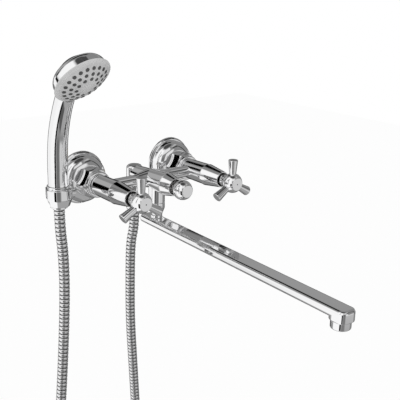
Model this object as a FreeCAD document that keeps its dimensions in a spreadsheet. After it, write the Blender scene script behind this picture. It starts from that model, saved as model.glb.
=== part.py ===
import FreeCAD, Part
import math
import os
from types import SimpleNamespace

import Sketcher
from FreeCAD import Placement, Rotation, Vector

# A wall-mounted bath mixer with two cross handles, a diverter knob, a long swivel spout and a
# hand shower on a ribbed metal hose. +Z is up, the wall is the plane Y = 0 and the user stands
# towards -Y. The origin is midway between the two wall threads. A station is a distance out from
# the wall, and heights are from the mixer's own axis, which lies axis_rise above the origin.

SIZES = [
    # wall unions, flanges and nuts
    ("inlet_spacing", 150.0), ("axis_rise", 6.0), ("thread_gap", 0.1), ("running_gap", 0.05),
    ("part_gap", 0.3), ("stud_radius", 10.48), ("stud_length", 16.0), ("stud_bore", 6.5),
    ("key_web", 2.4),
    ("shoulder_radius", 12.0), ("shoulder_length", 5.0), ("union_radius", 13.22),
    ("union_start", 2.0), ("union_end", 33.0), ("union_bore", 8.0),
    ("flange_radius", 36.2), ("flange_rim", 2.4), ("flange_slope_radius", 34.0),
    ("flange_slope", 3.8), ("bell_radius", 31.4), ("bell_round", 13.2), ("flange_depth", 21.8),
    ("flange_wall", 1.5), ("nut_start", 22.2), ("nut_end", 41.6), ("nut_corner", 20.6),
    ("nut_lip", 3.4), ("washer_thickness", 2.0), ("collar_length", 3.0), ("collar_radius", 13.0),
    ("tail_radius", 11.9), ("ring_start", 42.0), ("ring_end", 47.4), ("ring_radius", 17.6),
    # mixer body
    ("tube_start", 49.0), ("tube_end", 90.0), ("tube_start_radius", 14.0),
    ("tube_end_radius", 14.6), ("seat_thickness", 4.0), ("seat_hole", 6.0),
    ("cavity_radius", 11.0), ("passage_radius", 4.2), ("passage_station", 60.0),
    ("bridge_station", 58.0), ("bridge_radius", 8.0), ("bridge_root_radius", 13.2),
    ("bridge_flare", 27.0), ("bridge_round", 45.0), ("centre_back_radius", 10.2),
    ("centre_front", 97.0), ("centre_front_radius", 15.3), ("centre_floor", 62.0),
    ("rear_passage", 5.0), ("elbow_station", 20.0), ("elbow_radius", 11.2),
    ("elbow_top", 11.0), ("elbow_round", 5.0), ("elbow_depth", 36.0),
    ("outlet_thread", 10.3), ("outlet_depth", 46.0), ("outlet_bore", 5.5),
    ("swivel_station", 72.0), ("socket_radius", 11.2), ("socket_depth", 30.0),
    ("socket_thread", 9.6), ("socket_end", 38.0), ("socket_bore", 7.6), ("socket_top", 14.0),
    # valves
    ("sleeve_radius", 10.9), ("sleeve_bore", 9.5), ("hex_radius", 13.1), ("hex_length", 5.0),
    ("bush_radius", 8.5), ("bush_length", 16.0), ("seal_thickness", 2.2), ("disc_radius", 9.2),
    ("disc_thickness", 3.4), ("port_radius", 2.4), ("port_offset", 5.0), ("foot_length", 3.0),
    ("stem_radius", 4.0), ("spline_radius", 3.6), ("spindle_end", 132.0), ("groove_station", 100.0),
    ("groove_depth", 1.1), ("screw_radius", 2.0), ("screw_head", 3.4), ("screw_head_length", 2.6),
    ("shroud_end", 121.5), ("shroud_start_radius", 15.1), ("shroud_end_radius", 10.9),
    ("shroud_wall", 1.2),
    # handles
    ("ball_station", 141.0), ("ball_radius", 13.4), ("ball_flat", 9.8), ("neck_radius", 7.8),
    ("neck_back", 24.0), ("lever_root", 4.2), ("lever_tip", 6.5), ("lever_reach", 31.9),
    ("cap_radius", 9.0), ("cap_depth", 2.0), ("cap_dot", 0.85), ("screw_web", 4.0),
    # diverter
    ("diverter_sleeve_back", 64.3), ("diverter_shroud_end", 113.5),
    ("diverter_shroud_end_radius", 11.8), ("diverter_bush_length", 8.0),
    ("diverter_spindle_end", 122.0), ("diverter_ball_station", 128.0),
    ("diverter_ball_radius", 13.0), ("diverter_neck_back", 17.4), ("diverter_cap_radius", 8.5),
    ("diverter_groove", 104.0),
    # spout
    ("spout_angle", -2.8), ("spout_top", 52.5), ("spout_thickness", 10.9),
    ("spout_half_width", 11.4), ("spout_length", 350.5), ("outlet_setback", 12.5),
    ("spout_heel", 26.0), ("spout_heel_round", 5.0), ("channel_end", 6.0),
    ("spout_tip_round", 8.0), ("spout_edge", 3.8), ("outlet_drop", 14.0), ("outlet_edge", 1.3),
    ("outlet_length", 24.0),
    ("channel_half_width", 8.4), ("channel_height", 6.4), ("neck_outer", 6.2), ("neck_bore", 4.4),
    ("neck_head", 7.5), ("neck_top", 17.0), ("retainer_radius", 8.6), ("retainer_height", 2.6),
    ("spout_nut_end", 47.7), ("spout_nut_tip", 7.6), ("slip_ring_radius", 7.9),
    ("spout_seal_pitch", 5.0), ("seal_section", 0.9), ("aerator_radius", 11.0),
    ("aerator_length", 9.0), ("aerator_thread", 9.4), ("aerator_wall", 1.4),
    ("aerator_neck", 4.2),
    ("jet_radius", 0.9),
    # shower outlet and hose
    ("hose_nut_tail", 8.0), ("hose_nut_corner", 12.9), ("hose_radius", 7.0),
    ("hose_root_radius", 6.2), ("hose_bore", 4.2), ("hose_ribs", 200.0),
    # holder and hand shower
    ("cup_x", -134.5), ("cup_station", 46.0), ("cup_top", 6.0), ("cup_bottom", -17.0),
    ("cup_top_radius", 17.4), ("cup_bottom_radius", 13.6), ("cup_wall", 3.0),
    ("slot_width", 16.0), ("slot_angle", 160.0), ("arm_width", 5.2), ("arm_thickness", 3.0),
    ("boss_radius", 6.5), ("boss_length", 5.0), ("boss_drop", 3.5),
    ("cone_top", 9.5), ("cone_bottom", -21.5), ("cone_tail_radius", 10.2), ("cone_tip_radius", 8.3),
    ("handset_turn", -9.3), ("handle_wall", 2.4), ("handle_bore", 6.6),
    ("handle_foot_radius", 12.9), ("face_reach", 51.6), ("face_height", 146.4),
    ("face_tilt", 42.7), ("head_radius", 36.6), ("head_lip", 1.3), ("head_depth", 28.5),
    ("head_crown", 10.0), ("head_crown_round", 30.0), ("head_shoulder", 33.0),
    ("head_shoulder_depth", 13.5), ("head_round", 12.0), ("head_wall", 1.8),
    ("rim_depth", 1.2), ("trim_width", 4.2), ("trim_depth", 3.0), ("face_crown", 11.2),
    ("crown_round", 54.0), ("crown_edge", 2.4), ("plate_thickness", 2.4), ("mat_thickness", 1.6),
    ("nozzle_radius", 2.3), ("nozzle_stand", 0.6),
    ("inner_ring", 14.0), ("middle_ring", 20.6), ("outer_ring", 27.4),
]

doc = FreeCAD.newDocument("bath_mixer")
sheet = doc.addObject("Spreadsheet::Sheet", "Sizes")


def text(amount):
    """The spreadsheet expression of a size, or a bare number as text."""
    return amount.text if isinstance(amount, Size) else repr(float(amount))


def number(amount):
    """The value of a size or of a bare number."""
    return amount.value if isinstance(amount, Size) else float(amount)


class Size:
    """A length that knows both its value and the spreadsheet expression that gives it."""

    def __init__(self, expression, value):
        self.text = expression
        self.value = value

    def __add__(self, other):
        return Size(f"({self.text} + {text(other)})", self.value + number(other))

    def __radd__(self, other):
        return self + other

    def __sub__(self, other):
        return Size(f"({self.text} - {text(other)})", self.value - number(other))

    def __rsub__(self, other):
        return -self + other

    def __mul__(self, other):
        return Size(f"({self.text} * {text(other)})", self.value * number(other))

    def __truediv__(self, other):
        return Size(f"({self.text} / {text(other)})", self.value / number(other))

    def __neg__(self):
        return Size(f"(0 - {self.text})", -self.value)


size = SimpleNamespace()
for row, (alias, amount) in enumerate(SIZES, start=1):
    sheet.set(f"A{row}", alias)
    sheet.set(f"B{row}", str(amount))
    sheet.setAlias(f"B{row}", alias)
    setattr(size, alias, Size(f"Sizes.{alias}", amount))
doc.recompute()

# Turned pieces are drawn along their own Y axis, and these turns point that axis.
OUTWARD = Rotation(Vector(0, 0, 1), 180)
UPWARD = Rotation(Vector(1, 0, 0), 90)
DOWNWARD = Rotation(Vector(1, 0, 0), -90)
pieces = {}


def bind(thing, path, amount):
    """Sets a property, or ties it to the spreadsheet where the amount is a size."""
    if isinstance(amount, Size):
        thing.setExpression(path, amount.text)
    elif path in thing.PropertiesList:
        setattr(thing, path, amount)


def place(thing, position, rotation=Rotation()):
    """Puts an object at a position whose coordinates may be sizes."""
    thing.Placement = Placement(Vector(*[number(c) for c in position]), rotation)
    for axis, coordinate in zip("xyz", position):
        if isinstance(coordinate, Size):
            thing.setExpression(f"Placement.Base.{axis}", coordinate.text)
    return thing


def keep(node, thing):
    """Names a finished piece. Its label is its node."""
    thing.Label = node
    pieces[node] = thing
    return thing


def pin_corner(sketch, element, end, corner, name):
    """Holds one point of a sketch at a corner given by two sizes."""
    for kind, axis, amount, tag in (("DistanceX", -2, corner[0], "x"), ("DistanceY", -1, corner[1], "y")):
        if not isinstance(amount, Size) and amount == 0:
            sketch.addConstraint(Sketcher.Constraint("PointOnObject", element, end, axis))
            continue
        index = sketch.addConstraint(
            Sketcher.Constraint(kind, -1, 1, element, end, number(amount))
        )
        if isinstance(amount, Size):
            sketch.renameConstraint(index, f"{tag}{name}")
            sketch.setExpression(f"Constraints.{tag}{name}", amount.text)


def outline(sketch, corners):
    """Draws a closed outline of straight sides. A third value rounds its corner."""
    count = len(corners)
    at = [Vector(number(c[0]), number(c[1]), 0) for c in corners]
    arrive, leave, centres = list(at), list(at), {}
    for i, corner in enumerate(corners):
        if len(corner) < 3:
            continue
        radius = number(corner[2])
        back = (at[i - 1] - at[i]).normalize()
        ahead = (at[(i + 1) % count] - at[i]).normalize()
        half = back.getAngle(ahead) / 2
        arrive[i] = at[i] + back * (radius / math.tan(half))
        leave[i] = at[i] + ahead * (radius / math.tan(half))
        centres[i] = at[i] + (back + ahead).normalize() * (radius / math.sin(half))
    for i in range(count):
        sketch.addGeometry(Part.LineSegment(leave[i], arrive[(i + 1) % count]), False)
    for i in range(count):
        before = (i - 1) % count
        if i not in centres:
            sketch.addConstraint(Sketcher.Constraint("Coincident", before, 2, i, 1))
            pin_corner(sketch, i, 1, corners[i], i)
            continue
        first, last = arrive[i] - centres[i], leave[i] - centres[i]
        turns_left = first.cross(last).z > 0
        if not turns_left:
            first, last = last, first
        circle = Part.Circle(centres[i], Vector(0, 0, 1), first.Length)
        angles = [math.atan2(v.y, v.x) for v in (first, last)]
        arc = sketch.addGeometry(Part.ArcOfCircle(circle, angles[0], angles[1]), False)
        entry, leaving = (1, 2) if turns_left else (2, 1)
        sketch.addConstraint(Sketcher.Constraint("Tangent", before, 2, arc, entry))
        sketch.addConstraint(Sketcher.Constraint("Tangent", arc, leaving, i, 1))
        index = sketch.addConstraint(Sketcher.Constraint("Radius", arc, number(corners[i][2])))
        if isinstance(corners[i][2], Size):
            sketch.renameConstraint(index, f"round{i}")
            sketch.setExpression(f"Constraints.round{i}", corners[i][2].text)
        point = sketch.addGeometry(Part.Point(at[i]), True)
        sketch.addConstraint(Sketcher.Constraint("PointOnObject", point, 1, before))
        sketch.addConstraint(Sketcher.Constraint("PointOnObject", point, 1, i))
        pin_corner(sketch, point, 1, corners[i], i)


def drawn(name, corners):
    """A body with one sketch on its own XY plane."""
    body = doc.addObject("PartDesign::Body", name)
    sketch = body.newObject("Sketcher::SketchObject", f"{name}_outline")
    plane = next(o for o in body.Origin.OriginFeatures if o.Role == "XY_Plane")
    sketch.AttachmentSupport = [(plane, "")]
    sketch.MapMode = "FlatFace"
    outline(sketch, corners)
    return body, sketch


def turned(name, corners, position=(0, 0, 0), rotation=Rotation()):
    """A piece turned about its Y axis from corners of radius and station."""
    body, sketch = drawn(name, corners)
    turn = body.newObject("PartDesign::Revolution", f"{name}_turn")
    turn.Profile = sketch
    turn.ReferenceAxis = (sketch, ["V_Axis"])
    turn.Angle = 360
    return place(body, position, rotation)


def pressed(name, corners, thickness, position=(0, 0, 0), rotation=Rotation(), edge=None):
    """A flat piece of an outline and a thickness, its edges rounded where a radius is given."""
    body, sketch = drawn(name, corners)
    pad = body.newObject("PartDesign::Pad", f"{name}_pad")
    pad.Profile = sketch
    bind(pad, "Length", thickness)
    if edge is not None:
        doc.recompute()
        rounded = body.newObject("PartDesign::Fillet", f"{name}_edge")
        rounded.Base = (pad, [""])
        rounded.UseAllEdges = True
        bind(rounded, "Radius", edge)
    return place(body, position, rotation)


def tube_corners(inner, outer, start, end, edge=None):
    """The corners of a plain ring or tube, its outer edges rounded where a radius is given."""
    last = () if edge is None else (edge,)
    return [(inner, start), (outer, start) + last, (outer, end) + last, (inner, end)]


def rod(name, radius, length, position, direction):
    """A plain cylinder from a position along a direction."""
    cylinder = doc.addObject("Part::Cylinder", name)
    bind(cylinder, "Radius", radius)
    bind(cylinder, "Height", length)
    return place(cylinder, position, Rotation(Vector(0, 0, 1), direction))


def block(name, sides, position, rotation=Rotation()):
    """A plain box with one corner at a position."""
    box = doc.addObject("Part::Box", name)
    for path, amount in zip(("Length", "Width", "Height"), sides):
        bind(box, path, amount)
    return place(box, position, rotation)


def joined(name, parts):
    """The union of several solids."""
    fuse = doc.addObject("Part::MultiFuse", name)
    fuse.Shapes = parts
    fuse.Refine = True
    return fuse


def cut(name, base, tools):
    """A solid with one or more tools taken out of it."""
    result = doc.addObject("Part::Cut", name)
    result.Base = base
    result.Tool = tools[0] if len(tools) == 1 else joined(f"{name}_tools", tools)
    result.Refine = True
    return result


def common(name, first, second):
    """What two solids share."""
    result = doc.addObject("Part::Common", name)
    result.Base = first
    result.Tool = second
    result.Refine = True
    return result


def hexagonal(name, corners, corner_radius, start, end, position, rotation):
    """A nut: a turned piece trimmed to six flats between two stations."""
    turned_nut = turned(f"{name}_turned", corners, position, rotation)
    prism = doc.addObject("Part::Prism", f"{name}_flats")
    prism.Polygon = 6
    bind(prism, "Circumradius", corner_radius)
    bind(prism, "Height", end - start)
    axis = rotation.multVec(Vector(0, 1, 0))
    at = [
        c + start * round(axis_part, 6) if isinstance(c, Size) else start * round(axis_part, 6) + c
        for c, axis_part in zip(position, (axis.x, axis.y, axis.z))
    ]
    place(prism, at, Rotation(Vector(0, 0, 1), axis))
    return common(name, turned_nut, prism)


AXIS = size.axis_rise
OUT = Vector(0, -1, 0)
IN = Vector(0, 1, 0)
UP = Vector(0, 0, 1)
DOWN = Vector(0, 0, -1)
CENTRE = (0, 0, AXIS)
SIDES = {"left": -size.inlet_spacing / 2, "right": size.inlet_spacing / 2}

# Wall unions: the stud in the wall lies axis_rise below the nut end, so turning the union levels
# the mixer. A web across its bore takes the fitting key. Each has its bell-shaped flange, its nut
# and its washer.
collar_start = size.union_end + size.washer_thickness
collar_end = collar_start + size.collar_length
washers = []
for side, x in SIDES.items():
    stud = rod(f"{side}_stud", size.stud_radius, size.stud_length + 0.5, (x, size.stud_length, 0), OUT)
    shoulder = rod(f"{side}_shoulder", size.shoulder_radius, size.shoulder_length, (x, 0, 0), OUT)
    reach = size.union_end - size.union_start
    nut_side = rod(f"{side}_nut_side", size.union_radius, reach, (x, -size.union_start, AXIS), OUT)
    stud_bore_length = size.stud_length + size.shoulder_length
    stud_bore = rod(f"{side}_stud_bore", size.stud_bore, stud_bore_length, (x, size.stud_length + 1, 0), OUT)
    nut_bore = rod(f"{side}_nut_bore", size.union_bore, size.union_end, (x, -size.union_start - 1, AXIS), OUT)
    solid = joined(f"{side}_union_solid", [stud, shoulder, nut_side])
    hollow_union = cut(f"{side}_hollow_union", solid, [stud_bore, nut_bore])
    web_sides = (size.key_web, size.stud_length * 0.75, size.stud_bore * 2 + 1)
    web_at = (x - size.key_web / 2, size.stud_length / 8, -size.stud_bore - 0.5)
    web = block(f"{side}_key_web", web_sides, web_at)
    keep(f"{side}_wall_union", joined(f"{side}_wall_union", [hollow_union, web]))

    at_valve = (x, 0, AXIS)
    hole = size.union_radius + size.thread_gap
    wall = size.flange_wall
    flange = turned(
        f"{side}_wall_flange",
        [
            (size.flange_radius - wall, 0),
            (size.flange_radius, 0),
            (size.flange_radius, size.flange_rim, 0.9),
            (size.flange_slope_radius, size.flange_slope, 0.8),
            (size.bell_radius + 1.2, size.flange_slope),
            (size.bell_radius, size.flange_depth, size.bell_round),
            (hole, size.flange_depth),
            (hole, size.flange_depth - wall),
            (size.bell_radius - wall, size.flange_depth - wall, size.bell_round - wall),
            (size.bell_radius + 1.2 - wall, size.flange_slope - wall),
            (size.flange_radius - wall, size.flange_rim - 1.0),
        ],
        at_valve,
        OUTWARD,
    )
    keep(f"{side}_wall_flange", flange)

    lip = size.nut_end - size.nut_lip
    inside = size.union_radius + size.thread_gap
    nut = hexagonal(
        f"{side}_union_nut",
        [
            (inside, size.nut_start),
            (size.nut_corner - 1.6, size.nut_start),
            (size.nut_corner, size.nut_start + 1.4),
            (size.nut_corner, size.nut_end - 1.4),
            (size.nut_corner - 1.6, size.nut_end),
            (size.tail_radius + size.thread_gap, size.nut_end),
            (size.tail_radius + size.thread_gap, lip),
            (inside, lip),
        ],
        size.nut_corner,
        size.nut_start,
        size.nut_end,
        at_valve,
        OUTWARD,
    )
    keep(f"{side}_union_nut", nut)
    washer = tube_corners(size.union_bore, size.collar_radius - 0.2, size.union_end, collar_start)
    washers.append(turned(f"{side}_washer", washer, at_valve, OUTWARD))
inlet_washers = doc.addObject("Part::Compound", "inlet_washers")
inlet_washers.Links = washers
keep("inlet_washers", inlet_washers)

# Mixer body: one casting of two valve tubes, the bridge between them, the centre tube with the
# diverter, the elbow of the shower outlet behind and the spout socket below.
solids = []
hollows = []
for side, x in SIDES.items():
    at_valve = (x, 0, AXIS)
    tube = turned(
        f"{side}_tube",
        [
            (0, collar_start),
            (size.collar_radius, collar_start),
            (size.collar_radius, collar_end),
            (size.tail_radius, collar_end),
            (size.tail_radius, size.tube_start),
            (size.tube_start_radius, size.tube_start, 1.8),
            (size.tube_end_radius, size.tube_end, 0.5),
            (0, size.tube_end),
        ],
        at_valve,
        OUTWARD,
    )
    solids.append(tube)
    seat_face = size.tube_start + size.seat_thickness
    hollow = turned(
        f"{side}_hollow",
        [
            (0, collar_start - 1),
            (size.union_bore, collar_start - 1),
            (size.union_bore, size.tube_start),
            (size.seat_hole, size.tube_start),
            (size.seat_hole, seat_face),
            (size.cavity_radius, seat_face),
            (size.cavity_radius, size.tube_end + 1),
            (0, size.tube_end + 1),
        ],
        at_valve,
        OUTWARD,
    )
    hollows.append(hollow)

half = size.inlet_spacing / 2
for side, direction in (("left", Vector(-1, 0, 0)), ("right", Vector(1, 0, 0))):
    wing = turned(
        f"{side}_wing",
        [
            (0, 0),
            (size.bridge_root_radius, 0),
            (size.bridge_radius, size.bridge_flare, size.bridge_round),
            (size.bridge_radius, half - size.tube_start_radius * 0.6),
            (0, half - size.tube_start_radius * 0.6),
        ],
        (0, -size.bridge_station, AXIS),
        Rotation(Vector(0, 1, 0), direction),
    )
    solids.append(wing)

centre_back = size.elbow_station
solids.append(
    turned(
        "centre_tube",
        [
            (0, centre_back),
            (size.centre_back_radius, centre_back),
            (size.centre_front_radius, size.centre_front, 0.5),
            (0, size.centre_front),
        ],
        CENTRE,
        OUTWARD,
    )
)
solids.append(
    turned(
        "outlet_elbow",
        [
            (0, -size.outlet_depth),
            (size.outlet_thread, -size.outlet_depth, 0.6),
            (size.outlet_thread, -size.elbow_depth),
            (size.elbow_radius, -size.elbow_depth, 0.5),
            (size.elbow_radius, size.elbow_top, size.elbow_round),
            (0, size.elbow_top),
        ],
        (0, -size.elbow_station, AXIS),
        UPWARD,
    )
)
solids.append(
    turned(
        "spout_socket",
        [
            (0, -size.socket_end),
            (size.socket_thread, -size.socket_end, 0.5),
            (size.socket_thread, -size.socket_depth),
            (size.socket_radius, -size.socket_depth, 0.5),
            (size.socket_radius, 0),
            (0, 0),
        ],
        (0, -size.swivel_station, AXIS),
        UPWARD,
    )
)
hollows.append(
    turned(
        "centre_hollow",
        [
            (0, centre_back - 2),
            (size.rear_passage, centre_back - 2),
            (size.rear_passage, size.centre_floor),
            (size.cavity_radius, size.centre_floor),
            (size.cavity_radius, size.centre_front + 1),
            (0, size.centre_front + 1),
        ],
        CENTRE,
        OUTWARD,
    )
)
passage_length = size.inlet_spacing - size.cavity_radius
passage_at = (-half + size.cavity_radius / 2, -size.passage_station, AXIS)
hollows.append(rod("bridge_passage", size.passage_radius, passage_length, passage_at, Vector(1, 0, 0)))
outlet_at = (0, -size.elbow_station, AXIS - size.outlet_depth - 1)
hollows.append(rod("outlet_bore", size.outlet_bore, size.outlet_depth + 1, outlet_at, UP))
socket_at = (0, -size.swivel_station, AXIS - size.socket_end - 1)
hollows.append(rod("socket_bore", size.socket_bore, size.socket_end - size.socket_top + 1, socket_at, UP))
drop_at = (0, -size.swivel_station, AXIS - size.socket_end)
hollows.append(rod("socket_drop", size.neck_bore, size.socket_end, drop_at, UP))
keep("mixer_body", cut("mixer_body", joined("body_solid", solids), hollows))


# Valves: each headwork holds a rubber seat seal, a fixed and a turning ceramic disc and a
# spindle, under a conical shroud.
def spindle_piece(name, foot, stem_start, groove, end, at):
    """A spindle with its foot on the turning disc, a ring groove and a threaded end."""
    shaft = turned(
        f"{name}_shaft",
        [
            (0, foot),
            (size.disc_radius - 0.8, foot, 0.3),
            (size.disc_radius - 0.8, stem_start),
            (size.stem_radius, stem_start),
            (size.stem_radius, groove),
            (size.stem_radius - size.groove_depth, groove),
            (size.stem_radius - size.groove_depth, groove + 1.8),
            (size.stem_radius, groove + 1.8),
            (size.stem_radius, end - 16),
            (size.spline_radius, end - 15),
            (size.spline_radius, end, 0.4),
            (size.screw_radius + size.running_gap, end),
            (size.screw_radius + size.running_gap, end - 11),
            (0, end - 12.2),
        ],
        at,
        OUTWARD,
    )
    return keep(name, shaft)


def groove_ring(name, groove, at):
    """The rubber ring in a spindle's groove."""
    ring = doc.addObject("Part::Torus", name)
    section = size.groove_depth / 2 - size.running_gap
    bind(ring, "Radius1", size.stem_radius - size.groove_depth / 2)
    bind(ring, "Radius2", section)
    x, _, z = at
    return keep(name, place(ring, (x, -groove - 0.9, z), Rotation(UP, OUT)))


def port_disc(name, start, turn, at):
    """A ceramic disc with two ports."""
    disc = turned(
        f"{name}_blank",
        [(0, start), (size.disc_radius, start, 0.2), (size.disc_radius, start + size.disc_thickness, 0.2),
         (0, start + size.disc_thickness)],
        at,
        OUTWARD,
    )
    x, _, z = at
    ports = []
    for index, sign in enumerate((1, -1)):
        across = size.port_offset * (sign * math.cos(turn))
        rise = size.port_offset * (sign * math.sin(turn))
        port_at = (across + x, -start + 1, rise + z)
        ports.append(rod(f"{name}_port_{index}", size.port_radius, size.disc_thickness + 2, port_at, OUT))
    return keep(name, cut(name, disc, ports))


def headwork(name, back, face, bush_length, stem_start, at):
    """The brass body that screws into the casting and carries the spindle."""
    bore = size.stem_radius + size.running_gap
    body = turned(
        f"{name}_turned",
        [
            (size.sleeve_bore, back),
            (size.sleeve_radius, back),
            (size.sleeve_radius, face),
            (size.hex_radius, face),
            (size.hex_radius, face + size.hex_length, 0.6),
            (size.bush_radius, face + size.hex_length),
            (size.bush_radius, face + size.hex_length + bush_length, 0.6),
            (bore, face + size.hex_length + bush_length),
            (bore, stem_start),
            (size.sleeve_bore, stem_start),
        ],
        at,
        OUTWARD,
    )
    x, _, z = at
    window_width = size.passage_radius * 2
    window_at = (x - size.sleeve_radius - 1, -size.passage_station - 5, z - size.passage_radius)
    window = block(f"{name}_window", (size.sleeve_radius * 2 + 2, window_width, window_width), window_at)
    return keep(name, cut(name, body, [window]))


seals = []
seat_face = size.tube_start + size.seat_thickness
for side, x in SIDES.items():
    at_valve = (x, 0, AXIS)
    disc_start = seat_face + size.seal_thickness + 0.3
    turning_start = disc_start + size.disc_thickness
    foot_start = turning_start + size.disc_thickness
    stem_start = foot_start + size.foot_length
    seal = tube_corners(size.seat_hole + 0.2, size.disc_radius, seat_face, disc_start, 0.3)
    seals.append(turned(f"{side}_seat_seal", seal, at_valve, OUTWARD))
    port_disc(f"{side}_fixed_disc", disc_start, 0.0, at_valve)
    port_disc(f"{side}_turning_disc", turning_start, math.pi / 2, at_valve)
    spindle_piece(f"{side}_spindle", foot_start, stem_start, size.groove_station, size.spindle_end, at_valve)
    groove_ring(f"{side}_spindle_ring", size.groove_station, at_valve)
    headwork(f"{side}_headwork", disc_start, size.tube_end, size.bush_length, stem_start + 0.1, at_valve)
    shroud = turned(
        f"{side}_shroud",
        [
            (size.shroud_start_radius - size.shroud_wall, size.tube_end),
            (size.shroud_start_radius, size.tube_end, 0.5),
            (size.shroud_end_radius, size.shroud_end, 0.5),
            (size.shroud_end_radius - size.shroud_wall, size.shroud_end),
        ],
        at_valve,
        OUTWARD,
    )
    keep(f"{side}_shroud", shroud)


def ball_grip(name, ball_station, ball_radius, neck_back, cap_radius, spindle_end, levers, at):
    """A ball-shaped grip with a neck, a recess for its cap, a screw web and any levers."""
    x, _, z = at
    ball = doc.addObject("Part::Sphere", f"{name}_ball")
    bind(ball, "Radius", ball_radius)
    place(ball, (x, -ball_station, z))
    front = ball_station + size.ball_flat
    face = rod(f"{name}_slab", ball_radius + 1, size.ball_flat + ball_radius, (x, -front, z), IN)
    trimmed = common(f"{name}_trimmed", ball, face)
    neck = turned(
        f"{name}_neck",
        [
            (0, ball_station - neck_back),
            (size.neck_radius, ball_station - neck_back, 0.6),
            (size.neck_radius, ball_station - ball_radius),
            (size.neck_radius + 1.2, ball_station),
            (0, ball_station),
        ],
        at,
        OUTWARD,
    )
    solid = joined(f"{name}_solid", [trimmed, neck] + levers)
    recess = turned(
        f"{name}_recess",
        [
            (0, ball_station - neck_back - 1),
            (size.spline_radius + size.running_gap, ball_station - neck_back - 1),
            (size.spline_radius + size.running_gap, spindle_end + 0.3),
            (size.screw_radius + 0.2, spindle_end + 0.3),
            (size.screw_radius + 0.2, spindle_end + size.screw_web),
            (size.screw_head + 0.4, spindle_end + size.screw_web),
            (size.screw_head + 0.4, front - size.cap_depth),
            (cap_radius + size.thread_gap, front - size.cap_depth),
            (cap_radius + size.thread_gap, front + 1),
            (0, front + 1),
        ],
        at,
        OUTWARD,
    )
    keep(name, cut(name, solid, [recess]))


def grip_screw(name, spindle_end, at):
    """The screw that holds a grip on its spindle."""
    seat = spindle_end + size.screw_web
    screw = turned(
        name,
        [
            (0, spindle_end - 9),
            (size.screw_radius, spindle_end - 9, 0.4),
            (size.screw_radius, seat),
            (size.screw_head, seat),
            (size.screw_head, seat + size.screw_head_length, 0.5),
            (1.1, seat + size.screw_head_length),
            (1.1, seat + 1.0),
            (0, seat + 0.6),
        ],
        at,
        OUTWARD,
    )
    keep(name, screw)


def grip_cap(name, radius, front, dot, at):
    """The round cap in the front of a grip, with a pin-sized dimple where it has a dot."""
    back = front - size.cap_depth
    face = front + 0.5
    corners = [(0, back), (radius, back), (radius, face, 0.6)]
    if dot:
        corners += [(size.cap_dot, face), (size.cap_dot, face - 0.9), (0, face - 0.9)]
    else:
        corners += [(0, face)]
    keep(name, turned(name, corners, at, OUTWARD))


for side, x in SIDES.items():
    at_valve = (x, 0, AXIS)
    levers = []
    for index in range(3):
        turn = 2 * math.pi * index / 3
        along = Vector(math.sin(turn), 0, math.cos(turn))
        lever = turned(
            f"{side}_lever_{index}",
            [
                (0, size.neck_radius),
                (size.lever_root, size.neck_radius),
                (size.lever_tip, size.lever_reach, 0.8),
                (0, size.lever_reach),
            ],
            (x, -size.ball_station, AXIS),
            Rotation(Vector(0, 1, 0), along),
        )
        levers.append(lever)
    ball_grip(f"{side}_handle", size.ball_station, size.ball_radius, size.neck_back,
              size.cap_radius, size.spindle_end, levers, at_valve)
    grip_screw(f"{side}_handle_screw", size.spindle_end, at_valve)
    grip_cap(f"{side}_index_cap", size.cap_radius, size.ball_station + size.ball_flat, True, at_valve)

# Diverter: the same construction in the centre tube, with a plain ball knob.
disc_start = size.centre_floor + size.seal_thickness + 0.3
turning_start = disc_start + size.disc_thickness
foot_start = turning_start + size.disc_thickness
stem_start = foot_start + size.foot_length
seal = tube_corners(size.rear_passage + 0.6, size.disc_radius, size.centre_floor, disc_start, 0.3)
seals.append(turned("diverter_seat_seal", seal, CENTRE, OUTWARD))
seat_seals = doc.addObject("Part::Compound", "seat_seals")
seat_seals.Links = seals
keep("seat_seals", seat_seals)
port_disc("diverter_fixed_disc", disc_start, 0.0, CENTRE)
port_disc("diverter_turning_disc", turning_start, 0.0, CENTRE)
spindle_piece("diverter_spindle", foot_start, stem_start, size.diverter_groove,
              size.diverter_spindle_end, CENTRE)
groove_ring("diverter_spindle_ring", size.diverter_groove, CENTRE)
headwork("diverter_headwork", stem_start - 1.5, size.centre_front, size.diverter_bush_length,
         stem_start + 0.1, CENTRE)
diverter_shroud = turned(
    "diverter_shroud",
    [
        (size.centre_front_radius - size.shroud_wall, size.centre_front),
        (size.centre_front_radius, size.centre_front, 0.5),
        (size.diverter_shroud_end_radius, size.diverter_shroud_end, 0.5),
        (size.diverter_shroud_end_radius - size.shroud_wall, size.diverter_shroud_end),
    ],
    CENTRE,
    OUTWARD,
)
keep("diverter_shroud", diverter_shroud)
ball_grip("diverter_knob", size.diverter_ball_station, size.diverter_ball_radius,
          size.diverter_neck_back, size.diverter_cap_radius, size.diverter_spindle_end, [], CENTRE)
grip_screw("diverter_knob_screw", size.diverter_spindle_end, CENTRE)
grip_cap("diverter_cap", size.diverter_cap_radius, size.diverter_ball_station + size.ball_flat,
         False, CENTRE)

# Spout: a flat hollow bar with a neck that turns in the socket, held up by a split retainer on
# the lip of its nut, and with the aerator under its far end.
swivel = (0, -size.swivel_station, AXIS)
spout_turn = math.radians(number(size.spout_angle))
ahead = Vector(math.sin(spout_turn), -math.cos(spout_turn), 0)
bar_turn = Rotation(Vector(0, 0, 1), 180 + number(size.spout_angle))
bar_bottom = size.spout_top + size.spout_thickness


def along_spout(reach, depth):
    """A point on the spout's centre line, at a reach from the swivel and a depth below the axis."""
    return (reach * ahead.x, reach * ahead.y - size.swivel_station, AXIS - depth)


outlet_reach = size.spout_length - size.outlet_setback


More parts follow.
